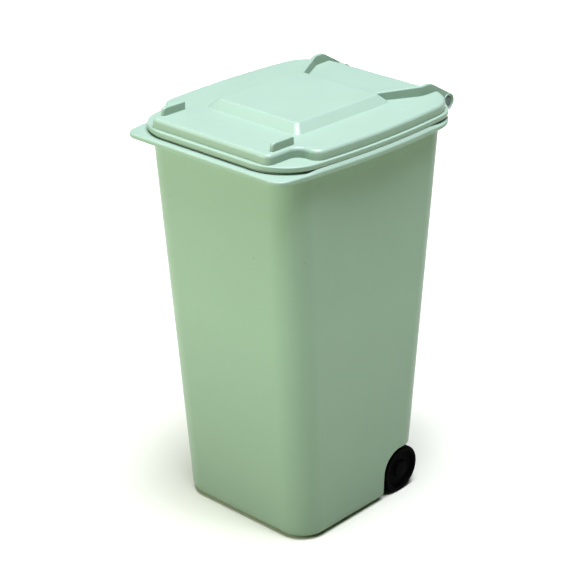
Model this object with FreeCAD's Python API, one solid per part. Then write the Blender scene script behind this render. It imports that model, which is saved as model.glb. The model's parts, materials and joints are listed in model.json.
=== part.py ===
import FreeCAD, Part
import math
import os
from FreeCAD import Vector

# A desktop trash can shaped like a small wheelie bin: a tapered tub with a rim flange,
# a stepped lid on two rear hinge pins, and two wheels pressed on one axle.
# Millimetres. The front of the bin faces -Y, +Z is up, and the floor is at z = 0.

# Rim flange: a thin plate round the tub's mouth, with bowed sides.
rim_bottom = 140.0
rim_thickness = 1.6
rim_front = 49.5
rim_rear = 42.0
rim_width = 77.0
rim_side_bow = 4.25
rim_widest_y = -0.2
rim_front_radius = 4.2
rim_rear_radius = 14.0
rim_edge_radius = 0.6
rim_under_chamfer = 0.4

# Tub: its four walls lean outwards to the rim, the front wall most.
tub_rim_overhang = 5.05
tub_top_front = 43.4
tub_top_rear = 37.9
tub_side_lean = 3.6
tub_base_front = 29.8
tub_base_rear = 31.8
tub_corner = 10.3
tub_wall = 1.8
tub_floor = 2.0
tub_base_round = 4.0
tub_floor_chamfer = 2.0

# Lid: a base plate, a platform on it with both front corners cut away, and a raised panel.
lid_gap = 0.9
lid_front_inset = 2.5
lid_side_inset = 1.05
lid_rear_overhang = 0.6
lid_front_radius = 13.6
lid_rear_radius = 13.0
lid_wall = 1.6
plate_height = 1.7
plate_edge_chamfer = 0.4
platform_height = 3.45
platform_inset = 0.95
platform_front_inset = 1.35
platform_edge_chamfer = 0.7
notch_side_setback = 12.1
notch_length = 13.5
notch_inner_radius = 4.0
nose_radius = 2.6
shoulder_radius = 3.4

# Raised panel on the platform, with a bevel on all four sides.
panel_setback = 19.9
panel_length = 46.4
panel_front_width = 41.2
panel_rear_width = 42.0
panel_height = 2.85
panel_bevel = 3.1

# Finger ribs at the lid's two front corners.
rib_notch_inset = 2.3
rib_width = 1.6
rib_setback = 3.5
rib_length = 10.2
rib_front_height = 2.9
rib_rear_height = 2.8
rib_nose_radius = 1.8

# Hinge: two lid arms with knuckles, two lugs on the tub, and a pin through each pair.
hinge_y = 46.5
hinge_rise = 0.8
hinge_span = 51.2
knuckle_radius = 3.0
knuckle_length = 4.4
knuckle_mouth = 0.5
arm_thickness = 1.5
arm_bend_inset = 0.8
arm_straight = 14.0
arm_bend_radius = 6.0
arm_root_inset = 1.2
arm_root_setback = 0.7
arm_height = 3.55
arm_crest_setback = 9.55
arm_crest_radius = 3.5
arm_foot_rise = 0.5
lug_radius = 2.6
lug_length = 7.0
lug_gap = 0.4
lug_drop = 0.7
lug_gusset = 5.0
pin_radius = 1.9
pin_running_clearance = 0.08
pin_seat_clearance = 0.02
pin_recess = 0.3
pin_end_chamfer = 0.3

# Wheels, their axle, and the pockets and tunnel under the tub that hold them.
wheel_radius = 8.8
wheel_width = 6.9
wheel_shoulder = 1.0
wheel_inset = 0.3
wheel_clearance = 0.9
wheel_face_recess = 0.9
wheel_back_recess = 3.2
wheel_rim_depth = 1.9
wheel_hub_radius = 3.3
wheel_hub_reach = 0.6
wheel_side_clearance = 0.3
wheel_hub_cap = 2.0
axle_y = 22.9
axle_radius = 1.25
axle_running_clearance = 0.06
axle_bearing_length = 4.0
tunnel_half_width = 2.6
arch_radius = 8.0

# One overrun serves every cut, and one distance picks edges and faces by their place.
overrun = 5.0
pick_distance = 0.1

X_AXIS = Vector(1, 0, 0)
Z_AXIS = Vector(0, 0, 1)

rim_top = rim_bottom + rim_thickness
tub_top_width = rim_width - 2 * tub_rim_overhang
tub_base_width = tub_top_width - 2 * tub_side_lean
lid_bottom = rim_top + lid_gap
plate_top = lid_bottom + plate_height
platform_top = plate_top + platform_height
panel_top = platform_top + panel_height
lid_front_y = lid_front_inset - rim_front
lid_rear_y = rim_rear + lid_rear_overhang
platform_front_y = lid_front_y + platform_front_inset
platform_rear_y = lid_rear_y - platform_inset
notch_half_width = rim_width / 2 - notch_side_setback
rib_middle = notch_half_width - rib_notch_inset
hinge_z = rim_top + hinge_rise
hinge_half = hinge_span / 2
knuckle_inner = hinge_half - knuckle_length
axle_z = wheel_radius


def save(shape, node):
    shape.exportStep(os.path.join("parts", node + ".step"))


def mirrored(shape):
    return shape.mirror(Vector(0, 0, 0), X_AXIS)


def both_sides(shape):
    return [shape, mirrored(shape)]


def polygon_prism(points, direction):
    """A flat polygon swept along a vector."""
    return Part.Face(Part.makePolygon(points + points[:1])).extrude(direction)


def edges_at(shape, test):
    """The straight edges whose middle and direction pass a test."""
    found = []
    for edge in shape.Edges:
        ends = [vertex.Point for vertex in edge.Vertexes]
        if len(ends) == 2 and test(edge.CenterOfMass, (ends[1] - ends[0]).normalize()):
            found.append(edge)
    return found


def upright(direction):
    return abs(direction.dot(Z_AXIS)) > math.cos(math.radians(1))


def crosswise(direction):
    return abs(direction.dot(X_AXIS)) > math.cos(math.radians(1))


def rim_half_width(y):
    """Half the rim's width at one place along its bowed sides, which are parts of a circle."""
    run = rim_front + rim_widest_y
    bow_radius = (run * run + rim_side_bow * rim_side_bow) / (2 * rim_side_bow)
    return rim_width / 2 - bow_radius + math.sqrt(bow_radius ** 2 - (y - rim_widest_y) ** 2)


def bowed_plate(side_inset, front_y, rear_y, bottom, height, front_radius, rear_radius):
    """A plate with the rim's bowed sides: straight front and rear edges, four round corners."""
    front = Vector(rim_half_width(front_y) - side_inset, front_y, bottom)
    widest = Vector(rim_width / 2 - side_inset, rim_widest_y, bottom)
    rear = Vector(rim_half_width(rear_y) - side_inset, rear_y, bottom)

    def other(point):
        return Vector(-point.x, point.y, point.z)

    outline = Part.Wire([
        Part.LineSegment(other(front), front).toShape(),
        Part.Arc(front, widest, rear).toShape(),
        Part.LineSegment(rear, other(rear)).toShape(),
        Part.Arc(other(rear), other(widest), other(front)).toShape(),
    ])
    plate = Part.Face(outline).extrude(Z_AXIS * height)
    for edge_y, radius in ((front_y, front_radius), (rear_y, rear_radius)):
        corners = edges_at(plate, lambda middle, way: upright(way) and abs(middle.y - edge_y) < pick_distance)
        plate = plate.makeFillet(radius, corners) if radius else plate
    return plate


def face_at_height(shape, height):
    """The level face of a solid at one height."""
    level = []
    for face in shape.Faces:
        if face.BoundBox.ZLength < pick_distance and abs(face.BoundBox.ZMin - height) < pick_distance:
            level.append(face)
    return max(level, key=lambda face: face.Area)


def flat_sided_block(lower, upper):
    """A solid with flat sides between two four-cornered outlines."""
    sides = []
    for corner in range(4):
        following = (corner + 1) % 4
        sides.append([lower[corner], lower[following], upper[following], upper[corner]])
    faces = [Part.Face(Part.makePolygon(ring + ring[:1])) for ring in [lower[::-1], upper] + sides]
    return Part.Solid(Part.Shell(faces))


def tub_between(base, top, z):
    """A size of the leaning tub at one height, from its values at the floor and under the rim."""
    return base + (top - base) * z / rim_bottom


def tub_block(bottom, top, inset):
    """A block with the tub's leaning walls, drawn in by a wall, with four round corners."""

    def outline(z):
        half = tub_between(tub_base_width, tub_top_width, z) / 2 - inset
        front = inset - tub_between(tub_base_front, tub_top_front, z)
        rear = tub_between(tub_base_rear, tub_top_rear, z) - inset
        return [Vector(x, y, z) for x, y in ((-half, front), (half, front), (half, rear), (-half, rear))]

    block = flat_sided_block(outline(bottom), outline(top))
    corners = [edge for edge in block.Edges if edge.BoundBox.ZLength > pick_distance]
    return block.makeFillet(tub_corner - inset, corners)


wheel_outer = tub_between(tub_base_width, tub_top_width, axle_z) / 2 - wheel_inset
wheel_inner = wheel_outer - wheel_width
hub_inner = wheel_inner - wheel_hub_reach
pocket_inner = hub_inner - wheel_side_clearance


def wheel_pocket(growth):
    """The open corner under the tub that one wheel turns in, grown by a wall."""
    low = Vector(pocket_inner - growth, axle_y - wheel_radius - wheel_clearance - growth, -overrun)
    top = axle_z + wheel_radius + wheel_clearance + growth
    size = Vector(tub_top_width, rim_rear + overrun, top) - low
    block = Part.makeBox(size.x, size.y, size.z, low)
    arch = edges_at(block, lambda middle, way: crosswise(way) and middle.y < axle_y and middle.z > axle_z)
    return block.makeFillet(arch_radius + growth, arch)


def axle_tunnel(half_length, radius):
    """A channel along the axle between the two wheel pockets, open underneath."""
    low = Vector(-half_length, axle_y - radius, -overrun)
    channel = Part.makeBox(half_length * 2, radius * 2, axle_z + overrun, low)
    crown = Part.makeCylinder(radius, half_length * 2, Vector(-half_length, axle_y, axle_z), X_AXIS)
    return channel.fuse(crown)


def hinge_rod(radius, start, end):
    """A round bar on the hinge axis between two distances from the middle."""
    return Part.makeCylinder(radius, end - start, Vector(start, hinge_y, hinge_z), X_AXIS)


def tangent_point(y, z, radius, turn):
    """Where a line from a point touches a circle on the hinge axis, above (-1) or below (+1)."""
    away = math.atan2(z - hinge_z, y - hinge_y)
    angle = away + turn * math.acos(radius / math.hypot(y - hinge_y, z - hinge_z))
    return hinge_y + radius * math.cos(angle), hinge_z + radius * math.sin(angle)


def hinge_lug():
    """A lug behind the rim that carries the inner end of one hinge pin."""
    outer = knuckle_inner - lug_gap
    inner = outer - lug_length
    root_y = tub_top_rear - tub_wall / 2
    root_top = rim_top - lug_drop
    root_low = rim_bottom - lug_gusset
    upper = tangent_point(rim_rear, root_top, lug_radius, -1)
    lower = tangent_point(root_y, root_low, lug_radius, 1)
    outline = [(root_y, root_top), (rim_rear, root_top), upper, (hinge_y, hinge_z), lower, (root_y, root_low)]
    web = polygon_prism([Vector(inner, y, z) for y, z in outline], X_AXIS * lug_length)
    return web.fuse(hinge_rod(lug_radius, inner, outer))


def bin_body():
    rim = bowed_plate(0, -rim_front, rim_rear, rim_bottom, rim_thickness, rim_front_radius, rim_rear_radius)
    rim = rim.makeChamfer(rim_under_chamfer, face_at_height(rim, rim_bottom).Edges)
    rim = rim.makeFillet(rim_edge_radius, face_at_height(rim, rim_top).Edges)
    outside = tub_block(0, rim_bottom, 0)
    outside = outside.makeFillet(tub_base_round, face_at_height(outside, 0).Edges)
    shell = outside.fuse([rim] + both_sides(hinge_lug()))
    cavity = tub_block(tub_floor, rim_top + overrun, tub_wall)
    cavity = cavity.makeChamfer(tub_floor_chamfer, face_at_height(cavity, tub_floor).Edges)
    ridge = axle_tunnel(pocket_inner, tunnel_half_width + tub_wall)
    cavity = cavity.cut(both_sides(wheel_pocket(tub_wall)) + [ridge])
    tunnel = axle_tunnel(pocket_inner - axle_bearing_length, tunnel_half_width)
    bearing = axle_radius + axle_running_clearance
    axle_bore = Part.makeCylinder(bearing, tub_top_width, Vector(-tub_top_width / 2, axle_y, axle_z), X_AXIS)
    pin_bore = hinge_rod(pin_radius + pin_seat_clearance, knuckle_inner - lug_gap - lug_length, hinge_half)
    cuts = [cavity, tunnel, axle_bore] + both_sides(wheel_pocket(0)) + both_sides(pin_bore)
    return shell.cut(cuts).removeSplitter()


def notch(growth, bottom):
    """The cut-away at one front corner of the platform, grown by a wall."""
    low = Vector(notch_half_width - growth, lid_front_y - overrun, bottom)
    high = Vector(rim_width / 2 + overrun, platform_front_y + notch_length + growth, panel_top)
    size = high - low
    block = Part.makeBox(size.x, size.y, size.z, low)
    corner = edges_at(block, lambda middle, way: upright(way) and middle.x < rim_width / 2
                      and middle.y > lid_front_y)
    return block.makeFillet(notch_inner_radius + growth, corner)


def lid_platform():
    """The platform that rises from the base plate, with its two front corners cut away."""
    step = platform_front_y + notch_length
    block = bowed_plate(lid_side_inset + platform_inset, platform_front_y, platform_rear_y,
                        lid_bottom, platform_top - lid_bottom, 0, lid_rear_radius)
    block = block.cut(both_sides(notch(0, lid_bottom - overrun)))
    noses = edges_at(block, lambda middle, way: upright(way)
                     and abs(middle.y - platform_front_y) < pick_distance)
    block = block.makeFillet(nose_radius, noses)
    shoulders = edges_at(block, lambda middle, way: upright(way) and abs(middle.y - step) < pick_distance
                         and abs(middle.x) > notch_half_width + notch_inner_radius + pick_distance)
    block = block.makeFillet(shoulder_radius, shoulders)
    return block.makeChamfer(platform_edge_chamfer, face_at_height(block, platform_top).Edges)


def raised_panel(growth):
    """The bevelled panel, or with a negative growth the hollow under it."""
    front = platform_front_y + panel_setback
    rear = front + panel_length

    def foot_half_width(y):
        return (panel_front_width + (panel_rear_width - panel_front_width) * (y - front) / panel_length) / 2

    def outline(z):
        inset = panel_bevel * (z - platform_top) / panel_height - growth
        front_half = foot_half_width(front + inset) - inset
        rear_half = foot_half_width(rear - inset) - inset
        corners = [(-front_half, front + inset), (front_half, front + inset),
                   (rear_half, rear - inset), (-rear_half, rear - inset)]
        return [Vector(x, y, z) for x, y in corners]

    return flat_sided_block(outline(platform_top - lid_wall), outline(panel_top + growth))


def finger_rib():
    """One rib at a front corner of the lid, with a round nose in front and a square rear end."""
    front = platform_front_y + rib_setback
    rear = front + rib_length
    foot = platform_top - lid_wall / 2
    front_top = platform_top + rib_front_height
    rear_top = platform_top + rib_rear_height
    outline = [(front, foot), (front, front_top), (rear, rear_top), (rear, foot)]
    inner = rib_middle - rib_width / 2
    rib = polygon_prism([Vector(inner, y, z) for y, z in outline], X_AXIS * rib_width)
    nose = edges_at(rib, lambda middle, way: crosswise(way) and middle.z > platform_top
                    and abs(middle.y - front) < pick_distance)
    return rib.makeFillet(rib_nose_radius, nose)


def hinge_arm():
    """One lid arm: a wall that flares out from the panel's rear corner and drops to its knuckle."""
    panel_rear = platform_front_y + panel_setback + panel_length - panel_bevel
    root = Vector(panel_rear_width / 2 - panel_bevel - arm_root_inset, panel_rear - arm_root_setback, 0)
    bend = Vector(hinge_half - arm_bend_inset, hinge_y - arm_straight, 0)
    end = Vector(hinge_half, hinge_y + knuckle_radius, 0)
    flare = bend - root
    inwards = Vector(-flare.y, flare.x, 0).normalize() * arm_thickness
    level = Z_AXIS * lid_bottom
    plan = [root, bend, end, end - X_AXIS * arm_thickness, bend - X_AXIS * arm_thickness, root + inwards]
    plan_prism = polygon_prism([point + level for point in plan], Z_AXIS * (panel_top + overrun - lid_bottom))
    bends = edges_at(plan_prism, lambda middle, way: upright(way) and abs(middle.y - bend.y) < arm_thickness)
    plan_prism = plan_prism.makeFillet(arm_bend_radius, bends)

    start = root.y - arm_thickness
    buried = platform_top - lid_wall / 2
    crest = (hinge_y - arm_crest_setback, platform_top + arm_height)
    foot = (platform_rear_y - lid_wall / 2, lid_bottom + arm_foot_rise)
    upper = tangent_point(crest[0], crest[1], knuckle_radius, -1)
    lower = tangent_point(foot[0], foot[1], knuckle_radius, 1)
    side = [(start, buried), (start, panel_top), crest, upper, (hinge_y, hinge_z), lower, foot,
            (foot[0], buried)]
    side_prism = polygon_prism([Vector(0, y, z) for y, z in side], X_AXIS * (hinge_half + overrun))
    crease = edges_at(side_prism, lambda middle, way: crosswise(way)
                      and math.hypot(middle.y - crest[0], middle.z - crest[1]) < pick_distance)
    side_prism = side_prism.makeFillet(arm_crest_radius, crease)
    return plan_prism.common(side_prism).fuse(hinge_rod(knuckle_radius, knuckle_inner, hinge_half))


def pin_hole():
    """The bore through one knuckle, with a wider mouth at its outer end."""
    bore = pin_radius + pin_running_clearance
    mouth = Part.makeCone(bore, bore + knuckle_mouth, knuckle_mouth,
                          Vector(hinge_half - knuckle_mouth, hinge_y, hinge_z), X_AXIS)
    return hinge_rod(bore, knuckle_inner - overrun, hinge_half + overrun).fuse(mouth)


def lid():
    plate = bowed_plate(lid_side_inset, lid_front_y, lid_rear_y, lid_bottom, plate_height,
                        lid_front_radius, lid_rear_radius)
    plate = plate.makeChamfer(plate_edge_chamfer, face_at_height(plate, plate_top).Edges)
    shell = plate.fuse([lid_platform(), raised_panel(0)])

    inset = lid_side_inset + platform_inset + lid_wall
    hollow_bottom = lid_bottom - overrun
    hollow_height = platform_top - lid_wall - hollow_bottom
    hollow = bowed_plate(inset, platform_front_y + lid_wall, platform_rear_y - lid_wall,
                         hollow_bottom, hollow_height, 0, lid_rear_radius - lid_wall)
    hollow = hollow.cut(both_sides(notch(lid_wall, hollow_bottom - overrun)))
    shell = shell.cut([hollow, raised_panel(-lid_wall)])
    extras = both_sides(finger_rib()) + both_sides(hinge_arm())
    return shell.fuse(extras).cut(both_sides(pin_hole())).removeSplitter()


def hinge_pin():
    """A moulded pin, pressed into the lug and free to turn in the knuckle."""
    start = knuckle_inner - lug_gap - lug_length
    pin = hinge_rod(pin_radius, start, hinge_half - pin_recess)
    rims = [edge for edge in pin.Edges if edge.Closed and len(edge.Vertexes) == 1]
    return pin.makeChamfer(pin_end_chamfer, rims)


def wheel():
    """A moulded wheel turned about the axle: bevelled tread, a dished face and a hollow back."""
    rim_inner = wheel_radius - wheel_rim_depth
    tread_side = wheel_radius - wheel_shoulder
    back = wheel_inner + wheel_back_recess
    face = wheel_outer - wheel_face_recess
    blind_end = wheel_outer - wheel_hub_cap
    outline = [
        (hub_inner, axle_radius),
        (hub_inner, wheel_hub_radius),
        (back, wheel_hub_radius),
        (back, rim_inner),
        (wheel_inner, rim_inner),
        (wheel_inner, tread_side),
        (wheel_inner + wheel_shoulder, wheel_radius),
        (wheel_outer - wheel_shoulder, wheel_radius),
        (wheel_outer, tread_side),
        (wheel_outer, rim_inner),
        (face, rim_inner),
        (face, wheel_hub_radius),
        (wheel_outer, wheel_hub_radius),
        (wheel_outer, 0),
        (blind_end, 0),
        (blind_end, axle_radius),
    ]
    points = [Vector(x, axle_y, axle_z + radius) for x, radius in outline]
    profile = Part.Face(Part.makePolygon(points + points[:1]))
    return profile.revolve(Vector(0, axle_y, axle_z), X_AXIS, 360)


def wheel_axle():
    """A plain rod that turns in the tub's two bearings, with a wheel pressed on each end."""
    half = wheel_outer - wheel_hub_cap
    return Part.makeCylinder(axle_radius, half * 2, Vector(-half, axle_y, axle_z), X_AXIS)


os.makedirs("parts", exist_ok=True)
save(bin_body(), "bin_body")
save(lid(), "lid")
for side, shape in zip(("right", "left"), both_sides(hinge_pin())):
    save(shape, "hinge_pin_" + side)
for side, shape in zip(("right", "left"), both_sides(wheel())):
    save(shape, "wheel_" + side)
save(wheel_axle(), "wheel_axle")
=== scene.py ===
import json
import math

import bmesh
import bpy
from mathutils import Matrix, Vector


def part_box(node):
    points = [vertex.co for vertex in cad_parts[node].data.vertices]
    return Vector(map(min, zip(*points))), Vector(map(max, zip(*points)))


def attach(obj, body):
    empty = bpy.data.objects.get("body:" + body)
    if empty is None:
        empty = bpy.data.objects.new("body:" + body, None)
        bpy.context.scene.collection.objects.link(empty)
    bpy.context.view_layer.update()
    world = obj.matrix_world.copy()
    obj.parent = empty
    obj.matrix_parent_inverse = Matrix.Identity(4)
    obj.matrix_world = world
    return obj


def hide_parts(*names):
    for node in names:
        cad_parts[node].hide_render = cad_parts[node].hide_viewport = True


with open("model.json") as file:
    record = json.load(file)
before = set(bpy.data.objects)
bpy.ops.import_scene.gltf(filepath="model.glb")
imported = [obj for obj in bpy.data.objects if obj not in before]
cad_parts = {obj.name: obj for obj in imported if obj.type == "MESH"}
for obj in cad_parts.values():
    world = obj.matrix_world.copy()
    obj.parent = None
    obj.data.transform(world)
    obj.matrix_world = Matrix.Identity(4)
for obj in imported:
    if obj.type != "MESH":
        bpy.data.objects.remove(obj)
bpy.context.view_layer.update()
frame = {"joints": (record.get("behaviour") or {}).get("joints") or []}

# The tub is one injection moulding in mint-green polypropylene. Its walls lean outwards to a rim
# flange with rolled edges, a sloping lip along both sides and a low bead under the lid. Two hinge
# lugs stand behind the rim, and the underside has two wheel pockets and a tunnel for the axle.
mm = 0.001
joint_at = {joint["name"]: Vector(joint["pos_m"]) for joint in frame["joints"]}
hinge = joint_at["lid_hinge"]
axle = joint_at["wheel_roll"]
tub_low, tub_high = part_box("bin_body")


def tree_node(tree, kind, sources=None, **settings):
    """A node with its settings, fed by other nodes' sockets or by plain values."""
    node = tree.nodes.new(kind)
    for name, value in settings.items():
        setattr(node, name, value)
    for name, source in (sources or {}).items():
        if isinstance(source, bpy.types.NodeSocket):
            tree.links.new(source, node.inputs[name])
        else:
            node.inputs[name].default_value = source
    return node


def new_material(name):
    """A material with its nodes, its shader and the object's own coordinates, in metres."""
    material = bpy.data.materials.new(name)
    material.use_nodes = True
    tree = material.node_tree
    place = tree_node(tree, "ShaderNodeTexCoord").outputs["Object"]
    return material, tree, tree.nodes["Principled BSDF"], place


def noise(tree, source, scale, detail):
    """Soft random patches, so many to the metre."""
    sources = {"Vector": source, "Scale": scale, "Detail": detail}
    return tree_node(tree, "ShaderNodeTexNoise", sources).outputs["Fac"]


def ranged(tree, source, low, high, new_low, new_high):
    """A value carried from one range to another, and held at its ends."""
    sources = {"Value": source, "From Min": low, "From Max": high, "To Min": new_low, "To Max": new_high}
    return tree_node(tree, "ShaderNodeMapRange", sources).outputs["Result"]


def mixed(tree, share, first, second):
    """A colour between two others."""
    sources = {"Factor": share, "A": first, "B": second}
    return tree_node(tree, "ShaderNodeMix", sources, data_type="RGBA").outputs["Result"]


def stretched(tree, place, scale):
    """Coordinates drawn out along one axis."""
    return tree_node(tree, "ShaderNodeMapping", {"Vector": place, "Scale": scale}).outputs["Vector"]


def toned(colour, share, white=0.0):
    """A colour made darker, or paler by some white."""
    return (*[channel * share + white for channel in colour], 1)


def speckled_plastic(name, pale, deep, roughness, specular, wear):
    """Moulded plastic: clouds of colour, scuffs, specks, painted shade darkening towards the base, patchy
    gloss, ripple and grain.
    """
    cloud_scale, cloud_detail = 26.0, 3.0
    scuff_scale, scuff_detail, scuff_stretch = 900.0, 2.0, (1.0, 1.0, 0.06)
    scuff_low, scuff_high, scuff_tone, scuff_white = 0.66, 0.74, 0.8, 0.2
    speck_scale, speck_detail = 420.0, 0.0
    speck_low, speck_high, speck_share, speck_tone = 0.88, 0.90, 0.3, 0.45
    # painted shade: the colour darkens over the lowest 80 mm, towards the base
    base_shade_height, base_shade_share, base_shade_tone = 80.0 * mm, 0.34, 0.35
    gloss_scale, gloss_detail, gloss_low, gloss_high = 85.0, 6.0, 0.3, 0.7
    ripple_scale, ripple_detail, ripple_depth = 38.0, 1.0, 0.5 * mm
    grain_scale, grain_detail, grain_depth = 2600.0, 2.0, 0.04 * mm
    bump_strength = 0.10
    material, tree, shader, place = new_material(name)
    shader.inputs["Specular IOR Level"].default_value = specular
    upright = stretched(tree, place, scuff_stretch)
    scuffs = ranged(tree, noise(tree, upright, scuff_scale, scuff_detail), scuff_low, scuff_high, 0.0, wear)
    cloud = mixed(tree, noise(tree, place, cloud_scale, cloud_detail), toned(deep, 1), toned(pale, 1))
    scuffed = mixed(tree, scuffs, cloud, toned(pale, scuff_tone, scuff_white))
    speck_noise = noise(tree, place, speck_scale, speck_detail)
    specks = ranged(tree, speck_noise, speck_low, speck_high, 0.0, speck_share)
    speckled = mixed(tree, specks, scuffed, toned(deep, speck_tone))
    height = tree_node(tree, "ShaderNodeSeparateXYZ", {0: place}).outputs["Z"]
    # painted shade, darker towards the base
    base_shade = ranged(tree, height, 0.0, base_shade_height, base_shade_share, 0.0)
    colour = mixed(tree, base_shade, speckled, toned(deep, base_shade_tone))
    gloss = ranged(tree, noise(tree, place, gloss_scale, gloss_detail), gloss_low, gloss_high, *roughness)
    ripple = tree_node(tree, "ShaderNodeBump", {
        "Height": noise(tree, place, ripple_scale, ripple_detail), "Strength": bump_strength,
        "Distance": ripple_depth})
    grain = tree_node(tree, "ShaderNodeBump", {
        "Height": noise(tree, place, grain_scale, grain_detail), "Strength": bump_strength,
        "Distance": grain_depth, "Normal": ripple.outputs["Normal"]})
    tree.links.new(colour, shader.inputs["Base Color"])
    tree.links.new(gloss, shader.inputs["Roughness"])
    tree.links.new(grain.outputs["Normal"], shader.inputs["Normal"])
    return material


mint = speckled_plastic("mint_polypropylene", pale=(0.217, 0.341, 0.202), deep=(0.208, 0.329, 0.194),
                        roughness=(0.28, 0.40), specular=0.25, wear=0.06)


def shape_tree(name, inputs, output):
    """An empty Geometry Nodes tree with its inputs and its one output, and the sockets of its inputs."""
    tree = bpy.data.node_groups.new(name, "GeometryNodeTree")
    for socket, kind in inputs.items():
        tree.interface.new_socket(socket, in_out="INPUT", socket_type="NodeSocket" + kind)
    tree.interface.new_socket(output, in_out="OUTPUT", socket_type="NodeSocketGeometry")
    return tree, tree.nodes.new("NodeGroupInput").outputs


def calculated(tree, kind, operation, *terms):
    """The result of a node that does arithmetic."""
    return tree_node(tree, kind, dict(enumerate(terms)), operation=operation).outputs[0]


def drawn_point(tree, drawing, number):
    """The place of one numbered point of a drawing."""
    position = tree_node(tree, "GeometryNodeInputPosition").outputs[0]
    sources = {"Geometry": drawing, "Value": position, "Index": number}
    return tree_node(tree, "GeometryNodeSampleIndex", sources, data_type="FLOAT_VECTOR").outputs[0]


def end_tree(tree, columns, rows, spot, finish, output):
    """Ends a tree: a sheet with its points set in place, its seam closed and its finish on."""
    weld_gap = 0.001 * mm

    def step(kind, sources):
        return tree_node(tree, kind, sources).outputs[0]

    sheet = step("GeometryNodeMeshGrid", {"Vertices X": columns, "Vertices Y": rows})
    shaped = step("GeometryNodeSetPosition", {"Geometry": sheet, "Position": spot})
    closed = step("GeometryNodeMergeByDistance", {"Geometry": shaped, "Distance": weld_gap})
    real = step("GeometryNodeRealizeInstances", {"Geometry": closed})
    coated = step("GeometryNodeSetMaterial", {"Geometry": real, "Material": finish})
    tree_node(tree, "NodeGroupOutput", {output: coated})


def moulded_wall_tree():
    """Nodes that carry a wall's section round an outline, which may change from a lower to an upper one."""
    tree, given = shape_tree("moulded_wall", {
        "Drawing": "Geometry", "Section Points": "Int", "Outline Points": "Int",
        "Lower Height": "Float", "Upper Height": "Float", "Finish": "Material"}, "Wall")
    section_points, outline_points = given["Section Points"], given["Outline Points"]
    index = tree_node(tree, "GeometryNodeInputIndex").outputs[0]

    def whole(operation, *terms):
        return calculated(tree, "FunctionNodeIntegerMath", operation, *terms)

    def vector(operation, *terms):
        return calculated(tree, "ShaderNodeVectorMath", operation, *terms)

    def drawn(number):
        return drawn_point(tree, given["Drawing"], number)

    section_spot = drawn(whole("MODULO", index, section_points))
    section = tree_node(tree, "ShaderNodeSeparateXYZ", {0: section_spot}).outputs
    heights = {"Value": section["Z"], "From Min": given["Lower Height"], "From Max": given["Upper Height"]}
    share = tree_node(tree, "ShaderNodeMapRange", heights, clamp=False).outputs["Result"]
    turn = whole("DIVIDE_FLOOR", index, section_points)

    def outline(step):
        number = whole("MODULO", whole("ADD", turn, step), outline_points)
        lower = drawn(whole("ADD", number, section_points))
        upper = drawn(whole("ADD", number, whole("ADD", section_points, outline_points)))
        return vector("MULTIPLY_ADD", vector("SUBTRACT", upper, lower), share, lower)

    here, after = outline(0), outline(1)
    before = outline(whole("SUBTRACT", outline_points, 1))
    upwards = (0, 0, 1)
    outwards = []
    for end, start in ((here, before), (after, here)):
        along = vector("NORMALIZE", vector("SUBTRACT", end, start))
        outwards.append(vector("CROSS_PRODUCT", along, upwards))
    mitre = vector("NORMALIZE", vector("ADD", *outwards))
    slant = tree_node(tree, "ShaderNodeVectorMath", {0: mitre, 1: outwards[0]}, operation="DOT_PRODUCT")
    inset = calculated(tree, "ShaderNodeMath", "DIVIDE", section["X"], slant.outputs["Value"])
    level = tree_node(tree, "ShaderNodeCombineXYZ", {"Z": section["Z"]}).outputs[0]
    spot = vector("ADD", vector("SUBTRACT", here, vector("MULTIPLY", mitre, inset)), level)
    end_tree(tree, whole("ADD", outline_points, 1), section_points, spot, given["Finish"], "Wall")
    return tree


def new_piece(name, points, edges, faces=()):
    """An object with a mesh of points, edges and faces."""
    mesh = bpy.data.meshes.new(name)
    mesh.from_pydata(points, edges, faces)
    piece = bpy.data.objects.new(name, mesh)
    bpy.context.scene.collection.objects.link(piece)
    return piece


def modified(piece, modifier):
    """Turns what a modifier gives into the piece's plain mesh, and removes the modifier."""
    graph = bpy.context.evaluated_depsgraph_get()
    shaped = bpy.data.meshes.new_from_object(piece.evaluated_get(graph))
    piece.modifiers.remove(modifier)
    piece.data = shaped
    return piece


def made_by(tree, piece, inputs):
    """The plain mesh that a node tree makes from a drawing."""
    maker = piece.modifiers.new(tree.name, "NODES")
    maker.node_group = tree
    for socket in tree.interface.items_tree:
        if socket.in_out == "INPUT" and socket.name in inputs:
            maker[socket.identifier] = inputs[socket.name]
    return modified(piece, maker)


def closed_outwards(piece):
    """Fills a piece's open ends with flat faces, and turns all its faces outwards."""
    seam_gap = 0.002 * mm
    work = bmesh.new()
    work.from_mesh(piece.data)
    bmesh.ops.remove_doubles(work, verts=work.verts, dist=seam_gap)
    bmesh.ops.holes_fill(work, edges=[edge for edge in work.edges if edge.is_boundary], sides=0)
    bmesh.ops.recalc_face_normals(work, faces=work.faces)
    work.to_mesh(piece.data)
    work.free()
    return piece


moulded_wall = moulded_wall_tree()


def wall_round(name, section, lower, upper, heights):
    """A closed solid whose (inset, height) section is carried round an outline."""
    points = [(inset, 0, z) for inset, z in section] + [(x, y, 0) for x, y in lower + upper]
    inputs = {"Section Points": len(section), "Outline Points": len(lower), "Lower Height": heights[0],
              "Upper Height": heights[1], "Finish": mint}
    return closed_outwards(made_by(moulded_wall, new_piece(name, points, []), inputs))


def skin(name, rings):
    """A closed solid through a row of rings of points."""
    piece = new_piece(name, [], [])
    work = bmesh.new()
    rows = [[work.verts.new(point) for point in ring] for ring in rings]
    for row, following in zip(rows, rows[1:]):
        for place in range(len(row)):
            work.faces.new((row[place - 1], row[place], following[place], following[place - 1]))
    work.to_mesh(piece.data)
    work.free()
    return closed_outwards(piece)


def mirrored(piece):
    """A copy of a piece on the other side of the bin."""
    twin = new_piece(piece.name + "_twin", [], [])
    work = bmesh.new()
    work.from_mesh(piece.data)
    work.transform(Matrix.Scale(-1, 4, Vector((1, 0, 0))))
    work.to_mesh(twin.data)
    work.free()
    return closed_outwards(twin)


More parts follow.
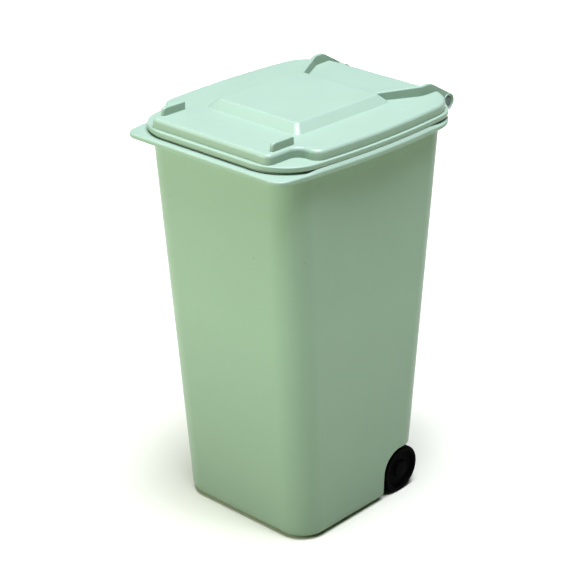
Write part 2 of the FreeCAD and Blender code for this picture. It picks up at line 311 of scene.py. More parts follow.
def combine(piece, operation, tools):
    """Adds tools to a piece or cuts them from it, and removes them."""
    for tool in tools:
        change = piece.modifiers.new("combine", "BOOLEAN")
        change.operation = operation
        change.solver = "EXACT"
        change.object = tool
        modified(piece, change)
        bpy.data.objects.remove(tool)
    return piece


def finished(piece, finish, sharp_angle):
    """One finish all over, smooth roundings, and flat faces that stay flat beside them."""
    piece.data.materials.clear()
    piece.data.materials.append(finish)
    piece.data.polygons.foreach_set("material_index", [0] * len(piece.data.polygons))
    piece.data.polygons.foreach_set("use_smooth", [True] * len(piece.data.polygons))
    piece.data.set_sharp_from_angle(angle=math.radians(sharp_angle))
    flat = piece.modifiers.new("flat_faces", "WEIGHTED_NORMAL")
    flat.keep_sharp = True
    return modified(piece, flat)


def quarter_round(radius, steps):
    """Inset and rise pairs of a rounded edge, from an upright wall to a level top."""
    angles = [math.radians(90) * step / steps for step in range(steps + 1)]
    return [(radius * (1 - math.cos(angle)), radius * math.sin(angle)) for angle in angles]


def upper_edge(top, radius, steps):
    """Inset and height pairs of a section's rounded upper edge, from its side to its top."""
    return [(inset, top - radius + rise) for inset, rise in quarter_round(radius, steps)]


def lower_edge(bottom, radius, steps):
    """Inset and height pairs of a section's rounded lower edge, from its underside to its side."""
    return [(inset, bottom + radius - rise) for inset, rise in quarter_round(radius, steps)[::-1]]


def rounded_loop(corners, arc_steps, side_steps):
    """Points round a polygon, anticlockwise, whose corners (x, y, radius) are turned into arcs."""
    arcs = []
    for place, (x, y, radius) in enumerate(corners):
        corner = Vector((x, y))
        before = (Vector(corners[place - 1][:2]) - corner).normalized()
        after = (Vector(corners[(place + 1) % len(corners)][:2]) - corner).normalized()
        half_angle = before.angle(after) / 2
        centre = corner + (before + after).normalized() * radius / math.sin(half_angle)
        tangent = radius / math.tan(half_angle)
        start = corner + before * tangent - centre
        turn = (corner + after * tangent - centre).angle_signed(start)
        turns = [turn * step / arc_steps for step in range(arc_steps + 1)]
        arcs.append([centre + Matrix.Rotation(angle, 2) @ start for angle in turns])
    points = []
    for arc, following in zip(arcs, arcs[1:] + arcs[:1]):
        points += arc
        points += [arc[-1].lerp(following[0], step / side_steps) for step in range(1, side_steps)]
    return points


def four_corners(half_front, half_rear, front, rear, front_radius, rear_radius):
    """The corners of a plate that is the same on both sides."""
    return [(half_front, front, front_radius), (half_rear, rear, rear_radius),
            (-half_rear, rear, rear_radius), (-half_front, front, front_radius)]


def share_of(distance, length):
    """How far along a length a distance is, from 0 to 1."""
    return min(max(distance / length, 0), 1)


rim_underside, rim_top = 140.0 * mm, 141.6 * mm
rim_front, rim_rear, rim_widest = tub_low.y, 42.0 * mm, -0.2 * mm
rim_half_front, rim_half_widest = 34.25 * mm, 38.5 * mm
rim_corner_front, rim_corner_rear = 4.2 * mm, 14.0 * mm
rim_roll, rim_under_roll = 0.5 * mm, 0.4 * mm


def rim_half(y):
    """Half the rim's width at one place along its bowed sides, which are parts of a circle."""
    rise, run = rim_half_widest - rim_half_front, rim_widest - rim_front
    bow_radius = (run ** 2 + rise ** 2) / (2 * rise)
    return rim_half_widest - bow_radius + math.sqrt(bow_radius ** 2 - (y - rim_widest) ** 2)


def bowed(loop, half_at, start, end):
    """A loop whose straight sides between two places are bowed out to a half width."""
    bent = []
    for x, y in loop:
        share = share_of(y - start, end - start)
        straight = half_at(start) * (1 - share) + half_at(end) * share
        bulge = half_at(start + (end - start) * share) - straight
        bent.append(Vector((x + math.copysign(bulge, x), y)))
    return bent


def bowed_plate(front, rear, inset, front_radius, rear_radius):
    """The outline of a plate with the rim's bowed sides and four round corners."""

    def half_at(y):
        return rim_half(y) - inset

    corners = four_corners(half_at(front), half_at(rear), front, rear, front_radius, rear_radius)
    return bowed(rounded_loop(corners, arc_steps=12, side_steps=12), half_at, front, rear)


tub_base_half, tub_base_front, tub_base_rear = 29.85 * mm, -29.8 * mm, 31.8 * mm
tub_top_half, tub_top_front, tub_top_rear = 33.45 * mm, -43.4 * mm, 37.9 * mm
tub_corner, tub_base_round = 10.3 * mm, 4.0 * mm
rim_root_fillet, fillet_below_rim = 1.0 * mm, 0.98


def tub_outline(half, front, rear):
    """The tub's outline at one height."""
    corners = four_corners(half, half, front, rear, tub_corner, tub_corner)
    return rounded_loop(corners, arc_steps=12, side_steps=2)


tub_base_outline = tub_outline(tub_base_half, tub_base_front, tub_base_rear)
tub_top_outline = tub_outline(tub_top_half, tub_top_front, tub_top_rear)


def tub_outside():
    """The tub as a block: a rounded base edge, leaning walls, and a fillet that runs into the rim."""
    section = lower_edge(0, tub_base_round, steps=8)
    for inset, rise in quarter_round(rim_root_fillet, steps=5):
        section.append((-inset, rim_underside - rim_root_fillet * fillet_below_rim + rise))
    section.append((-rim_root_fillet, rim_underside + rim_under_roll))
    return wall_round("bin_tub", section, tub_base_outline, tub_top_outline, (0, rim_underside))


def rim_flange():
    """The rim, rolled over at its upper and lower edges."""
    section = lower_edge(rim_underside, rim_under_roll, steps=4) + upper_edge(rim_top, rim_roll, steps=6)
    outline = bowed_plate(rim_front, rim_rear, 0, rim_corner_front, rim_corner_rear)
    return wall_round("rim_flange", section, outline, outline, (0, rim_top))


# The lip's section, in mm in from the rim's edge and above its top: up its outside, over the slope
# and back down into the rim.
lip_section = [
    (0.3, -0.6), (0.012, -0.42), (0.05, -0.22), (0.12, -0.04), (0.25, 0.13), (0.5, 0.38),
    (0.75, 0.62), (0.94, 0.81), (0.99, 0.86), (1.0, 0.6), (1.01, -0.2), (7.0, -0.2),
]
lip_front, lip_rear, lip_fade, lip_sunk = -45.0 * mm, 35.0 * mm, 14.0 * mm, 0.45 * mm


def rim_lip():
    """The sloping lip beside the lid's long edges. It dies away into the rim at both ends."""
    rings = []
    for place, height in lip_section:
        inset, full = place * mm, height * mm
        low = min(full, -lip_sunk)
        corner = max(rim_corner_front - inset, rim_roll)
        ring = []
        for x, y in bowed_plate(rim_front + inset, rim_rear - inset, inset, corner, rim_corner_rear - inset):
            fade = share_of(min(y - lip_front, lip_rear - y), lip_fade)
            ring.append(Vector((x, y, rim_top + low + (full - low) * fade * fade * (3 - 2 * fade))))
        rings.append(ring)
    return skin("rim_lip", rings)


bead_front, bead_rear, bead_inset, bead_rise = -45.8 * mm, 41.4 * mm, 2.25 * mm, 0.55 * mm
bead_corner_front, bead_corner_rear = 12.4 * mm, 11.8 * mm


def lid_bead():
    """A low bead round the mouth, under the edge of the shut lid."""
    section = [(0, rim_top - bead_rise), (0, rim_top)]
    section += [(inset, rim_top + rise) for inset, rise in quarter_round(bead_rise, steps=4)]
    outline = bowed_plate(bead_front, bead_rear, bead_inset, bead_corner_front, bead_corner_rear)
    return wall_round("lid_bead", section, outline, outline, (0, rim_top))


tub_wall, tub_floor, mouth_round = 1.8 * mm, 2.0 * mm, 0.6 * mm
cut_overrun = 6.0 * mm


def tub_inside():
    """The hollow of the tub, with a rounded floor edge and a softened mouth."""
    floor_edge = lower_edge(tub_floor, tub_base_round - tub_wall, steps=6)
    mouth_edge = upper_edge(rim_top, mouth_round, steps=4)
    section = [(tub_wall + inset, z) for inset, z in floor_edge]
    section += [(tub_wall - inset, z) for inset, z in mouth_edge]
    section.append((tub_wall - mouth_round, rim_top + cut_overrun))
    return wall_round("tub_hollow", section, tub_base_outline, tub_top_outline, (0, rim_underside))


def inset_loop(loop, distance):
    """A loop drawn in by a distance, square to its sides."""
    drawn_in = []
    for place, point in enumerate(loop):
        ahead = (loop[(place + 1) % len(loop)] - point).normalized()
        behind = (point - loop[place - 1]).normalized()
        normals = [Vector((way.y, -way.x)) for way in (behind, ahead)]
        middle = (normals[0] + normals[1]).normalized()
        drawn_in.append(point - middle * distance / middle.dot(normals[0]))
    return drawn_in


def side_ring(x, loop):
    """A loop of (y, z) points, stood up at one place across the bin."""
    return [Vector((x, y, z)) for y, z in loop]


def crosswise_bar(name, loop, ends, edge_round):
    """A solid with a side outline of (y, z) points, running across the bin, with rounded end edges."""
    rounding = quarter_round(edge_round, steps=4) if edge_round else [(0, 0)]
    stations = [(ends[0] + edge_round - rise, inset) for inset, rise in rounding[::-1]]
    stations += [(ends[1] - edge_round + rise, inset) for inset, rise in rounding]
    return skin(name, [side_ring(x, inset_loop(loop, inset)) for x, inset in stations])


def round_axis(axis, radius, angle):
    """A (y, z) point at a radius and an angle round an axis across the bin."""
    return Vector((axis.y + radius * math.cos(angle), axis.z + radius * math.sin(angle)))


def circle(axis, radius, steps):
    """Points all round an axis across the bin."""
    return [round_axis(axis, radius, math.tau * step / steps) for step in range(steps)]


wheel_low, wheel_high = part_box("wheel_right")
wheel_radius = (wheel_high.z - wheel_low.z) / 2
pocket_clearance, pocket_side_clearance = 0.9 * mm, 0.3 * mm
pocket_inner = wheel_low.x - pocket_side_clearance
arch_radius, arch_edge_round = 8.0 * mm, 0.5 * mm
square_corner = 0.01 * mm


def wheel_pocket(growth, edge_round):
    """The space that one wheel turns in: open below, behind and at the side, with a soft outer edge."""
    front = axle.y - wheel_radius - pocket_clearance - growth
    top = axle.z + wheel_radius + pocket_clearance + growth
    rear = rim_rear + cut_overrun
    corners = [(front, -cut_overrun, square_corner), (rear, -cut_overrun, square_corner),
               (rear, top, square_corner), (front, top, arch_radius + growth)]
    loop = rounded_loop(corners, arc_steps=16, side_steps=8)
    rings = [side_ring(pocket_inner - growth, loop)]
    lean = (tub_top_half - tub_base_half) / rim_underside
    rounding = quarter_round(edge_round, steps=4) if edge_round else []
    for inset, rise in rounding:
        flared = inset_loop(loop, -inset)
        rings.append([Vector((tub_base_half + lean * z - edge_round + rise, y, z)) for y, z in flared])
    rings.append(side_ring(tub_top_half + cut_overrun, inset_loop(loop, -edge_round)))
    return skin("wheel_pocket", rings)


tunnel_half, tunnel_crown = 2.6 * mm, 0.98
bearing_length, bearing_radius = 4.0 * mm, 1.31 * mm


def axle_tunnel(half_length, radius):
    """A channel along the axle, round on top and open below."""
    crown = radius * tunnel_crown
    corners = [(axle.y - radius, -cut_overrun, square_corner), (axle.y + radius, -cut_overrun, square_corner),
               (axle.y + radius, axle.z + radius, crown), (axle.y - radius, axle.z + radius, crown)]
    loop = rounded_loop(corners, arc_steps=10, side_steps=4)
    return crosswise_bar("axle_tunnel", loop, (-half_length, half_length), 0)


pin_low, pin_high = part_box("hinge_pin_right")
pin_radius = (pin_high.z - pin_low.z) / 2
lug_radius, lug_width, lug_edge = 2.6 * mm, 7.0 * mm, 0.4 * mm
lug_inner, lug_outer = pin_low.x, pin_low.x + lug_width
lug_root_low, lug_root_top = 135.0 * mm, 140.9 * mm
lug_bore_clearance = 0.02 * mm


def tangent_point(point, radius, turn):
    """Where a line from a side point touches a circle on the hinge axis, above (-1) or below (+1)."""
    away = point - Vector((hinge.y, hinge.z))
    return round_axis(hinge, radius, math.atan2(away.y, away.x) + turn * math.acos(radius / away.length))


def hinge_lug():
    """A lug behind the rim that carries the inner end of a hinge pin."""
    nose_steps = 24
    root = tub_top_rear - tub_wall / 2
    top = Vector((rim_rear - rim_roll, lug_root_top))
    low = Vector((root, lug_root_low))
    upper = tangent_point(top, lug_radius, -1)
    lower = tangent_point(low, lug_radius, 1)
    start = math.atan2(lower.y - hinge.z, lower.x - hinge.y)
    end = math.atan2(upper.y - hinge.z, upper.x - hinge.y)
    angles = [start + (end - start) * step / nose_steps for step in range(nose_steps + 1)]
    nose = [round_axis(hinge, lug_radius, angle) for angle in angles]
    loop = [low] + nose + [top, Vector((root, lug_root_top))]
    return crosswise_bar("hinge_lug", loop, (lug_inner, lug_outer), lug_edge)


moulded_edge_angle = 32
hollow = tub_inside()
pocket_wall = wheel_pocket(tub_wall, 0)
ridge = axle_tunnel(pocket_inner, tunnel_half + tub_wall)
combine(hollow, "DIFFERENCE", [mirrored(pocket_wall), pocket_wall, ridge])
tub = tub_outside()
lug = hinge_lug()
combine(tub, "UNION", [rim_flange(), rim_lip(), lid_bead(), mirrored(lug), lug])
pocket = wheel_pocket(0, arch_edge_round)
lug_bore = crosswise_bar("lug_bore", circle(hinge, pin_radius + lug_bore_clearance, steps=48),
                         (lug_inner - cut_overrun, lug_outer + cut_overrun), 0)
bearing = crosswise_bar("bearing", circle(axle, bearing_radius, steps=32), (-tub_base_half, tub_base_half), 0)
tunnel = axle_tunnel(pocket_inner - bearing_length, tunnel_half)
combine(tub, "DIFFERENCE", [hollow, mirrored(pocket), pocket, tunnel, bearing, mirrored(lug_bore), lug_bore])
finished(tub, mint, moulded_edge_angle)
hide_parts("bin_body")
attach(tub, "bin")

# The axle is a length of drawn steel wire, cut square and slightly rounded at its ends. It turns in
# two bearings in the floor of the tub.
axle_low, axle_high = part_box("wheel_axle")
axle_radius, axle_end_round = (axle_high.z - axle_low.z) / 2, 0.25 * mm


def turned_tree():
    """Nodes that turn a section about an axis across the bin, with its corners rounded first."""
    tree, given = shape_tree("turned_round_axis", {
        "Drawing": "Geometry", "Edge Radius": "Float", "Edge Steps": "Int", "Turn Steps": "Int",
        "Axis Y": "Float", "Axis Z": "Float", "Finish": "Material"}, "Turned")

    def whole(operation, *terms):
        return calculated(tree, "FunctionNodeIntegerMath", operation, *terms)

    def number(operation, *terms):
        return calculated(tree, "ShaderNodeMath", operation, *terms)

    line = tree_node(tree, "GeometryNodeMeshToCurve", {"Mesh": given["Drawing"]}).outputs[0]
    rounding = {"Curve": line, "Count": given["Edge Steps"], "Radius": given["Edge Radius"],
                "Limit Radius": True}
    section = tree_node(tree, "GeometryNodeFilletCurve", rounding, mode="POLY").outputs[0]
    size = tree_node(tree, "GeometryNodeAttributeDomainSize", {"Geometry": section}, component="CURVE")
    count = size.outputs["Point Count"]
    index = tree_node(tree, "GeometryNodeInputIndex").outputs[0]
    drawn = drawn_point(tree, section, whole("MODULO", index, count))
    spot = tree_node(tree, "ShaderNodeSeparateXYZ", {0: drawn}).outputs
    step = whole("DIVIDE_FLOOR", index, count)
    angle = number("MULTIPLY", number("DIVIDE", step, given["Turn Steps"]), math.tau)
    carried = {"X": spot["X"]}
    for name, way in (("Y", "COSINE"), ("Z", "SINE")):
        reach = number("MULTIPLY", spot["Z"], number(way, angle))
        carried[name] = number("ADD", reach, given["Axis " + name])
    place = tree_node(tree, "ShaderNodeCombineXYZ", carried).outputs[0]
    end_tree(tree, whole("ADD", given["Turn Steps"], 1), count, place, given["Finish"], "Turned")
    return tree


turned_round_axis = turned_tree()


def turned(name, section, axis, edge_radius, finish):
    """A piece turned about an axis, from an (x, radius) section that starts and ends on it."""
    edge_steps, turn_steps, turned_edge_angle = 4, 96, 40
    points = [(x, 0, radius) for x, radius in section]
    edges = [(place, place + 1) for place in range(len(section) - 1)]
    inputs = {"Edge Radius": edge_radius, "Edge Steps": edge_steps, "Turn Steps": turn_steps,
              "Axis Y": axis.y, "Axis Z": axis.z, "Finish": finish}
    shape = made_by(turned_round_axis, new_piece(name, points, edges), inputs)
    return finished(closed_outwards(shape), finish, turned_edge_angle)


def drawn_steel():
    """Drawn wire: bright steel with fine lines along its length and a dull bloom."""
    dull, bright = (0.42, 0.42, 0.43, 1), (0.62, 0.62, 0.63, 1)
    line_scale, line_detail, line_stretch = 6000.0, 3.0, (0.05, 1.0, 1.0)
    line_strength, line_depth = 0.2, 0.02 * mm
    bloom_scale, bloom_detail = 120.0, 4.0
    smoothest, roughest = 0.22, 0.5
    material, tree, shader, place = new_material("drawn_steel")
    shader.inputs["Metallic"].default_value = 1.0
    lines = noise(tree, stretched(tree, place, line_stretch), line_scale, line_detail)
    tone = mixed(tree, noise(tree, place, bloom_scale, bloom_detail), dull, bright)
    gloss = ranged(tree, lines, 0.0, 1.0, smoothest, roughest)
    score = tree_node(tree, "ShaderNodeBump", {
        "Height": lines, "Strength": line_strength, "Distance": line_depth})
    tree.links.new(tone, shader.inputs["Base Color"])
    tree.links.new(gloss, shader.inputs["Roughness"])
    tree.links.new(score.outputs["Normal"], shader.inputs["Normal"])
    return material


axle_section = [(axle_low.x, 0), (axle_low.x, axle_radius), (axle_high.x, axle_radius), (axle_high.x, 0)]
rod = turned("axle_rod", axle_section, axle, axle_end_round, drawn_steel())
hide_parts("wheel_axle")
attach(rod, "wheelset")

# The wheels are moulded in black plastic, with a rounded tread, a shallow dished face and a hollow
# back. They are pressed on the ends of the axle and turn with it.
black = speckled_plastic("black_polypropylene", pale=(0.0006, 0.0006, 0.0006), deep=(0.0004, 0.0004, 0.0004),
                         roughness=(0.6, 0.75), specular=0.02, wear=0.002)
hub_radius, hub_stand_out = 3.3 * mm, 0.6 * mm
wheel_inner, wheel_outer = wheel_low.x + hub_stand_out, wheel_high.x
tread_depth, dish_depth, back_depth = 1.9 * mm, 0.9 * mm, 3.2 * mm
wheel_edge = 0.6 * mm
axle_end = axle_high.x
wheel_section = [
    (axle_end, 0), (axle_end, axle_radius), (wheel_low.x, axle_radius), (wheel_low.x, hub_radius),
    (wheel_inner + back_depth, hub_radius), (wheel_inner + back_depth, wheel_radius - tread_depth),
    (wheel_inner, wheel_radius - tread_depth), (wheel_inner, wheel_radius), (wheel_outer, wheel_radius),
    (wheel_outer, wheel_radius - tread_depth), (wheel_outer - dish_depth, wheel_radius - tread_depth),
    (wheel_outer - dish_depth, hub_radius), (wheel_outer, hub_radius), (wheel_outer, 0),
]
for side, node in ((1, "wheel_right"), (-1, "wheel_left")):
    section = [(x * side, radius) for x, radius in wheel_section]
    wheel = turned(node + "_moulding", section, axle, wheel_edge, black)
    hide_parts(node)
    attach(wheel, "wheelset")

# The lid is a second moulding in the same plastic: a thin base plate, a platform with both front
# corners cut away, a raised panel, two finger ribs, and two arms that end in hinge knuckles.
# It is hollow underneath and hangs on the hinge pins.
lid_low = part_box("lid")[0]
lid_bottom, plate_top, platform_top, panel_top = 142.5 * mm, 144.2 * mm, 147.65 * mm, 150.5 * mm
lid_wall = 1.6 * mm
lid_front, lid_rear = lid_low.y, 42.6 * mm
lid_corner_front, lid_corner_rear = 13.6 * mm, 13.0 * mm
plate_inset, plate_foot_edge, plate_edge = 1.05 * mm, 0.12 * mm, 0.4 * mm


def base_plate():
    """The thin plate that lies on the rim."""
    section = lower_edge(lid_bottom, plate_foot_edge, steps=3) + upper_edge(plate_top, plate_edge, steps=5)
    outline = bowed_plate(lid_front, lid_rear, plate_inset, lid_corner_front, lid_corner_rear)
    return wall_round("bin_lid", section, outline, outline, (0, plate_top))


platform_inset, platform_front_inset, platform_edge = 0.95 * mm, 1.35 * mm, 1.3 * mm
platform_front, platform_rear = lid_front + platform_front_inset, lid_rear - platform_inset
notch_half, notch_length = 26.4 * mm, 13.5 * mm
notch_step = platform_front + notch_length
notch_inner_round, nose_round, shoulder_round = 4.0 * mm, 2.6 * mm, 3.4 * mm


def platform():
    """The block that rises from the plate, with a cut-away at each front corner."""

    def half_at(y):
        return rim_half(y) - plate_inset - platform_inset

    right = [(notch_half, platform_front, nose_round), (notch_half, notch_step, notch_inner_round),
             (half_at(notch_step), notch_step, shoulder_round),
             (half_at(platform_rear), platform_rear, lid_corner_rear)]
    left = [(-x, y, radius) for x, y, radius in right[::-1]]
    loop = rounded_loop(right + left, arc_steps=12, side_steps=10)
    outline = bowed(loop, half_at, notch_step, platform_rear)
    section = [(0, plate_top - lid_wall / 2)] + upper_edge(platform_top, platform_edge, steps=6)
    return wall_round("platform", section, outline, outline, (0, platform_top))


panel_front, panel_rear = -25.75 * mm, 20.65 * mm
panel_half_front, panel_half_rear = 20.6 * mm, 21.0 * mm
panel_bevel, panel_edge = 3.1 * mm, 1.4 * mm
panel_foot_corner, panel_top_corner = 2.2 * mm, 1.6 * mm
panel_rise = panel_top - platform_top


def panel_outline(inset, corner):
    """The raised panel's outline, drawn in up its four sloping sides."""
    taper = (panel_half_front - panel_half_rear) / (panel_rear - panel_front)
    halves = (panel_half_front - inset - taper * inset, panel_half_rear - inset + taper * inset)
    corners = four_corners(*halves, panel_front + inset, panel_rear - inset, corner, corner)
    return rounded_loop(corners, arc_steps=6, side_steps=6)


def raised_panel():
    """The bevelled panel, with its upper edge softened."""
    edge_steps = 5
    slope = math.atan2(panel_rise, panel_bevel)
    reach = panel_edge * math.tan(slope / 2)
    section = [(0, platform_top - lid_wall / 2)]
    for step in range(edge_steps + 1):
        angle = slope * (1 - step / edge_steps)
        z = panel_top - panel_edge * (1 - math.cos(angle))
        across = panel_bevel + reach - panel_edge * math.sin(angle)
        section.append((across - panel_bevel * (z - platform_top) / panel_rise, z))
    foot, top = panel_outline(0, panel_foot_corner), panel_outline(panel_bevel, panel_top_corner)
    return wall_round("raised_panel", section, foot, top, (platform_top, panel_top))


def lid_hollow():
    """The shallow tray under the platform, which keeps a wall round both cut-away corners."""
    inset = plate_inset + platform_inset + lid_wall
    front, rear = platform_front + lid_wall, platform_rear - lid_wall
    outline = bowed_plate(front, rear, inset, notch_inner_round, lid_corner_rear - lid_wall)
    section = [(0, lid_bottom - cut_overrun), (0, platform_top - lid_wall)]
    tray = wall_round("lid_tray", section, outline, outline, (0, platform_top))
    inner, step, side = notch_half - lid_wall, notch_step + lid_wall, tub_high.x + cut_overrun
    ahead = lid_front - cut_overrun
    corners = [(inner, ahead, square_corner), (side, ahead, square_corner),
               (side, step, square_corner), (inner, step, notch_inner_round + lid_wall)]
    loop = rounded_loop(corners, arc_steps=8, side_steps=4)
    heights = (lid_bottom - cut_overrun * 2, panel_top)
    corner_wall = skin("corner_wall", [[Vector((x, y, z)) for x, y in loop] for z in heights])
    return combine(tray, "DIFFERENCE", [mirrored(corner_wall), corner_wall])


panel_hollow_overlap = 0.2 * mm


def panel_hollow():
    """The hollow under the raised panel."""
    heights = (platform_top - lid_wall - panel_hollow_overlap, panel_top - lid_wall)
    outlines = []
    for z in heights:
        inset = lid_wall + panel_bevel * (z - platform_top) / panel_rise
        outlines.append(panel_outline(inset, panel_top_corner))
    return wall_round("panel_hollow", [(0, z) for z in heights], *outlines, heights)


rib_inner, rib_outer = 23.3 * mm, 24.9 * mm
rib_front, rib_rear = -42.15 * mm, -31.95 * mm
rib_front_rise, rib_rear_rise = 2.9 * mm, 2.8 * mm
rib_front_corner, rib_rear_corner, rib_edge = 0.75 * mm, 0.6 * mm, 0.5 * mm
rib_nose, rib_nose_drop, rib_heel = 1.8 * mm, 0.6, 0.9 * mm


def finger_rib():
    """A rib at a front corner of the lid, with a round nose and a slightly rounded rear end."""
    corners = [(rib_outer, rib_front, rib_front_corner), (rib_outer, rib_rear, rib_rear_corner),
               (rib_inner, rib_rear, rib_rear_corner), (rib_inner, rib_front, rib_front_corner)]
    loop = rounded_loop(corners, arc_steps=6, side_steps=24)

    def top_at(y):
        share = (y - rib_front) / (rib_rear - rib_front)
        nose = min(max(1 - (y - rib_front) / rib_nose, 0), 1)
        heel = min(max(1 - (rib_rear - y) / rib_heel, 0), 1)
        nose_dip = rib_nose * (1 - math.sqrt(1 - nose ** 2)) * rib_nose_drop
        dip = nose_dip + rib_heel * (1 - math.sqrt(1 - heel ** 2))
        return platform_top + rib_front_rise + (rib_rear_rise - rib_front_rise) * share - dip

    rings = [[Vector((x, y, platform_top - lid_wall / 2)) for x, y in loop]]
    for inset, rise in quarter_round(rib_edge, steps=5):
        rings.append([Vector((x, y, top_at(y) - rib_edge + rise)) for x, y in inset_loop(loop, inset)])
    return skin("finger_rib", rings)


knuckle_inner, knuckle_outer, knuckle_radius = 21.2 * mm, 25.6 * mm, 3.0 * mm
knuckle_edge, knuckle_clearance = 0.3 * mm, 0.08 * mm
bore_overrun, bore_mouth = 0.2 * mm, 0.5 * mm
arm_thickness, arm_edge, arm_blend = 1.5 * mm, 0.5 * mm, 1.6 * mm
arm_root = Vector((16.7 * mm, 16.85 * mm))
arm_bend = Vector((24.8 * mm, 32.5 * mm))
arm_bend_round, arm_end_setback = 6.0 * mm, 0.1 * mm
arm_crest = Vector((36.95 * mm, 151.2 * mm))
arm_foot_rise = 0.5 * mm
arm_foot = Vector((40.85 * mm, lid_bottom + arm_foot_rise))


def arm_path():
    """Points along an arm's outer face, seen from above: a flare, a bend and a straight run."""
    flare_steps, bend_steps, run_steps = 10, 6, 24
    end = Vector((knuckle_outer - arm_end_setback, hinge.y + knuckle_radius))
    into = (arm_root - arm_bend).normalized()
    out = (end - arm_bend).normalized()
    reach = arm_bend_round * math.tan((math.pi - into.angle(out)) / 2)
    first, last = arm_bend + into * reach, arm_bend + out * reach
    top_end = tangent_point(arm_crest, knuckle_radius, -1).x
    stop = last.lerp(end, (top_end - last.y) / (end.y - last.y))
    path = [arm_root.lerp(first, step / flare_steps) for step in range(flare_steps)]
    for step in range(bend_steps):
        share = step / bend_steps
        path.append(first.lerp(arm_bend, share).lerp(arm_bend.lerp(last, share), share))
    path += [last.lerp(stop, step / run_steps) for step in range(run_steps + 1)]
    return path


def arm_top(y):
    """The arm's upper edge: from the panel's top over a soft crest and down to the knuckle."""
    blend_steps = 5
    start = Vector((arm_root.y - arm_thickness, panel_top))
    marks = [start, arm_crest, tangent_point(arm_crest, knuckle_radius, -1)]

    def straight(place):
        for start, end in zip(marks, marks[1:]):
            if place <= end.x or end is marks[-1]:
                return start.y + (end.y - start.y) * (place - start.x) / (end.x - start.x)

    steps = range(-blend_steps, blend_steps + 1)
    samples = [straight(y + arm_blend * step / blend_steps) for step in steps]
    return sum(samples) / len(samples)


def arm_bottom(y):
    """The arm's lower edge: buried in the platform, then free behind the lid down to the knuckle."""
    lower = tangent_point(arm_foot, knuckle_radius, 1)
    if y < arm_foot.x:
        return platform_top - lid_wall / 2
    if y < lower.x:
        return arm_foot.y + (lower.y - arm_foot.y) * (y - arm_foot.x) / (lower.x - arm_foot.x)
    return hinge.z


def hinge_arm():
    """A thin wall from the panel's rear corner to the knuckle, with softened upper edges."""
    path = arm_path()
    rings = []
    for place, outer in enumerate(path):
        ahead = path[min(place + 1, len(path) - 1)] - path[max(place - 1, 0)]
        inwards = Vector((-ahead.y, ahead.x)).normalized()
        bottom = arm_bottom(outer.y)
        edge = upper_edge(arm_top(outer.y), arm_edge, steps=4)
        section = [(0, bottom)] + edge
        section += [(arm_thickness - inset, z) for inset, z in edge[::-1]]
        section.append((arm_thickness, bottom))
        rings.append([(outer + inwards * across).to_3d() + Vector((0, 0, z)) for across, z in section])
    return skin("hinge_arm", rings)


def knuckle_bore():
    """The hole for a hinge pin, with a wider mouth at its outer end."""
    bore = pin_radius + knuckle_clearance
    stations = [(knuckle_inner - bore_overrun, bore), (knuckle_outer - bore_mouth, bore),
                (knuckle_outer + bore_mouth, bore + bore_mouth * 2)]
    return skin("knuckle_bore", [side_ring(x, circle(hinge, radius, steps=48)) for x, radius in stations])


lid = base_plate()
combine(lid, "UNION", [platform(), raised_panel()])
combine(lid, "DIFFERENCE", [lid_hollow(), panel_hollow()])
arm = hinge_arm()
knuckle_loop = circle(hinge, knuckle_radius, steps=64)
knuckle = crosswise_bar("knuckle", knuckle_loop, (knuckle_inner, knuckle_outer), knuckle_edge)
combine(arm, "UNION", [knuckle])
combine(arm, "DIFFERENCE", [knuckle_bore()])
rib = finger_rib()
combine(lid, "UNION", [mirrored(rib), rib, mirrored(arm), arm])
finished(lid, mint, moulded_edge_angle)
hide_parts("lid")
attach(lid, "lid")

# Each hinge pin is a short moulded peg, coloured with a darker, greyer copy of the mint plastic: painted
# shade on its end.
# It is pushed in from outside through the lid's knuckle and held in the tub's lug, so only its end shows.
# painted shade: the pins take a darker, greyer copy of the mint plastic's colour
pin_plastic = speckled_plastic("pin_plastic", pale=(0.13, 0.18, 0.14), deep=(0.10, 0.14, 0.11),
                               roughness=(0.45, 0.6), specular=0.2, wear=0.05)
pin_end_round = 0.4 * mm
pin_section = [(pin_low.x, 0), (pin_low.x, pin_radius), (pin_high.x, pin_radius), (pin_high.x, 0)]
for side, node in ((1, "hinge_pin_right"), (-1, "hinge_pin_left")):
    section = [(x * side, radius) for x, radius in pin_section]
    pin = turned(node + "_peg", section, hinge, pin_end_round, pin_plastic)
    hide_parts(node)
    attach(pin, "bin")

# The bin stands on a wide, seamless sheet of matt paper. The paper is tinted against the cool light
# overhead, so that the floor comes out white in the picture.
floor_reach = 4.0
paper_tint, paper_roughness = (0.57, 0.65, 0.42, 1), 0.9
floor_corners = [(-floor_reach, -floor_reach, 0), (floor_reach, -floor_reach, 0),
                 (floor_reach, floor_reach, 0), (-floor_reach, floor_reach, 0)]
floor = new_piece("paper_floor", floor_corners, [], [(0, 1, 2, 3)])
paper = bpy.data.materials.new("pale_paper")
paper.use_nodes = True
paper_shader = paper.node_tree.nodes["Principled BSDF"]
paper_shader.inputs["Base Color"].default_value = paper_tint
paper_shader.inputs["Roughness"].default_value = paper_roughness
floor.data.materials.append(paper)

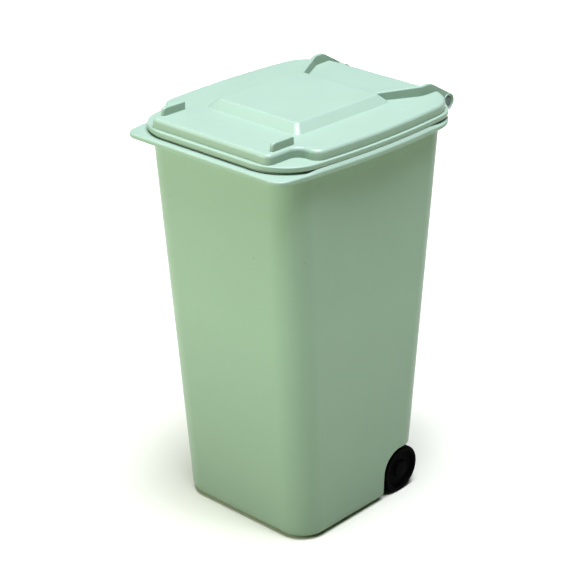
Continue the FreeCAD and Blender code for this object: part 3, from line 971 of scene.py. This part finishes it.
# The light is soft studio light: a strong cool bank almost overhead, a weak warmer one low in front
# on the left, and one with a grid on it that lights the floor behind. The room itself is nearly dark.
room_strength = 0.04
world = bpy.data.worlds.new("studio")
world.use_nodes = True
room = world.node_tree.nodes["Background"]
room.inputs["Color"].default_value = (1, 1, 1, 1)
room.inputs["Strength"].default_value = room_strength
bpy.context.scene.world = world
bpy.context.scene.view_settings.view_transform = "Standard"


def soft_light(name, place, aim, size, power, colour, spread):
    """A square light bank that faces a point. A spread under 180 degrees stands for a grid on its front."""
    bank = bpy.data.lights.new(name, "AREA")
    bank.size = size
    bank.energy = power
    bank.color = colour
    bank.spread = math.radians(spread)
    light = bpy.data.objects.new(name, bank)
    light.location = place
    light.rotation_euler = (Vector(aim) - Vector(place)).to_track_quat("-Z", "Y").to_euler()
    bpy.context.scene.collection.objects.link(light)


soft_light("overhead_bank", place=(0.15, -0.1, 1.2), aim=(0, 0, 0.1), size=0.7, power=47.5,
           colour=(0.79, 0.715, 1.06), spread=180)
soft_light("front_bank", place=(-0.32, -0.66, 0.24), aim=(0, 0, 0.12), size=0.4, power=4.4,
           colour=(1.0, 0.92, 0.97), spread=180)
soft_light("backdrop_bank", place=(-0.5, 0.55, 1.0), aim=(-0.62, 0.68, 0), size=0.5, power=10.0,
           colour=(0.70, 0.64, 0.95), spread=75)

# The camera stands where the photograph was taken from, in front on the right and above the lid, and
# is rolled a little. Its place, its angles and its long lens were fitted to the bin's outlines.
camera_azimuth, camera_elevation = math.radians(41.905), math.radians(24.669)
camera_roll = math.radians(0.631)
camera_place = Vector((392.140, -443.553, 351.265)) * mm
camera_lens, sensor_width = 116.70, 36.0
back = Vector((math.sin(camera_azimuth) * math.cos(camera_elevation),
               -math.cos(camera_azimuth) * math.cos(camera_elevation), math.sin(camera_elevation)))
level_right = Vector((math.cos(camera_azimuth), math.sin(camera_azimuth), 0))
level_up = back.cross(level_right)
right = level_right * math.cos(camera_roll) + level_up * math.sin(camera_roll)
up = level_up * math.cos(camera_roll) - level_right * math.sin(camera_roll)
camera_data = bpy.data.cameras.new("camera")
camera_data.sensor_width = sensor_width
camera_data.lens = camera_lens
camera = bpy.data.objects.new("camera", camera_data)
bpy.context.scene.collection.objects.link(camera)
camera_turn = Matrix((right, up, back)).transposed().to_4x4()
camera.matrix_world = Matrix.Translation(camera_place) @ camera_turn
bpy.context.scene.camera = camera
